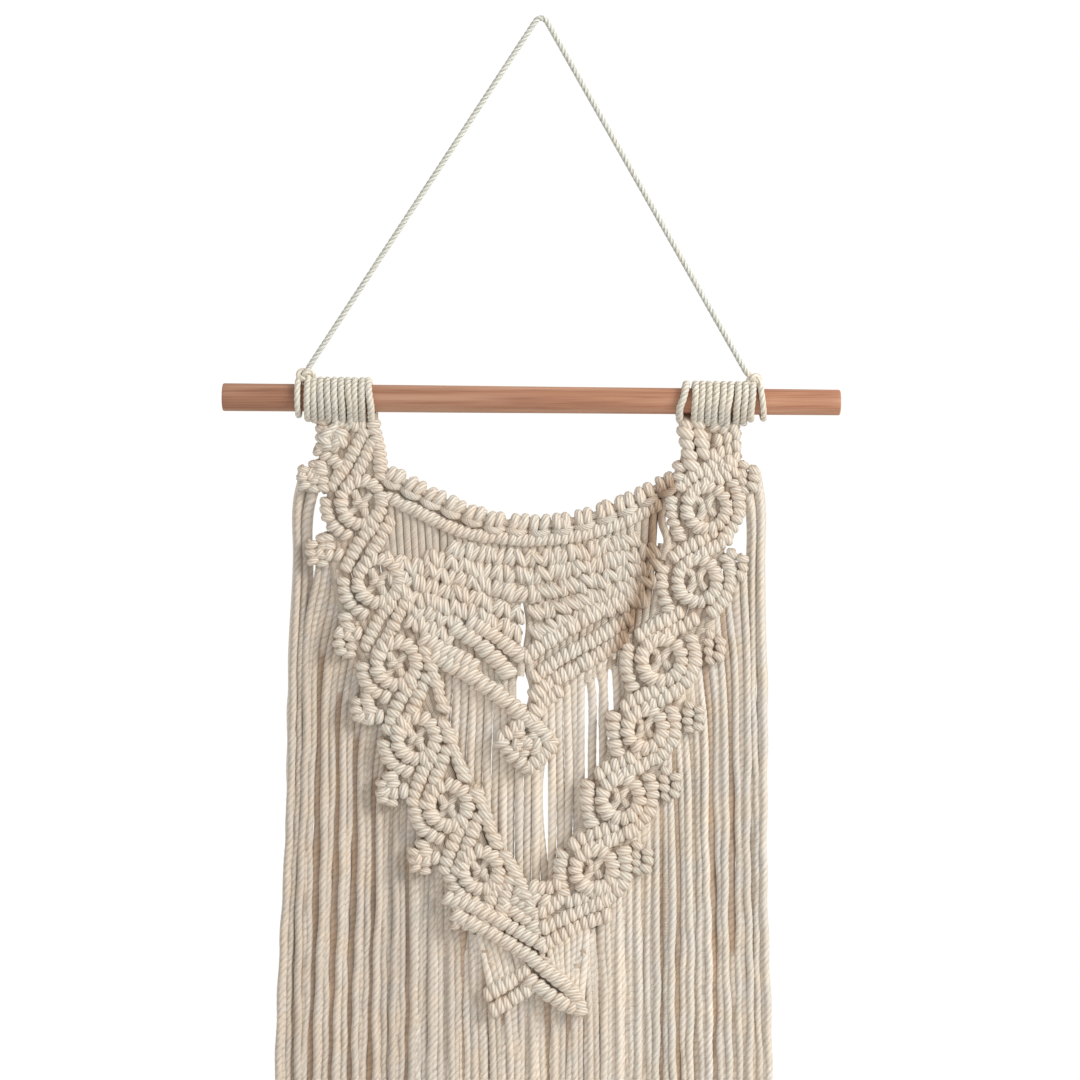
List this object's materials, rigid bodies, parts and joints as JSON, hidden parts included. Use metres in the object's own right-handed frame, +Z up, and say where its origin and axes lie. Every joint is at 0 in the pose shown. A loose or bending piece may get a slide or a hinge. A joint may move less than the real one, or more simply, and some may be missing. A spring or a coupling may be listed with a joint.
{
  "type": "macrame wall hanging with wooden rod and hanging cord",
  "caption": "Knotted cotton wall hanging: two shoulder bands meet in a point under a scalloped heading, with a long straight fringe, on a plain wooden rod and cord.",
  "frame": {"origin": "the hanging point: the middle of the hanging cord where it bends over its nail", "axes": "+Z up, +Y towards the wall, +X to the right as seen from the front"},
  "size_m": [0.3397, 0.0234, 0.7656],
  "materials": {
    "rod_wood": "plain sanded reddish-brown wood, unvarnished",
    "cotton_cord": "natural cream three-ply twisted cotton cord"
  },
  "bodies": {
    "root": {"rod": "rod_wood", "hanger_cord": "cotton_cord", "hanger_knot_left": "cotton_cord", "hanger_knot_right": "cotton_cord", "lark_head_left_1": "cotton_cord", "lark_head_left_2": "cotton_cord", "lark_head_left_3": "cotton_cord", "lark_head_left_4": "cotton_cord", "lark_head_left_5": "cotton_cord", "lark_head_right_1": "cotton_cord", "lark_head_right_2": "cotton_cord", "lark_head_right_3": "cotton_cord", "lark_head_right_4": "cotton_cord", "lark_head_right_5": "cotton_cord", "left_band": "cotton_cord", "right_band": "cotton_cord", "swag": "cotton_cord", "centre_net": "cotton_cord", "cross": "cotton_cord", "fringe_left": "cotton_cord", "fringe_cross": "cotton_cord", "fringe_right": "cotton_cord", "fringe_inner": "cotton_cord"}
  },
  "joints": []
}
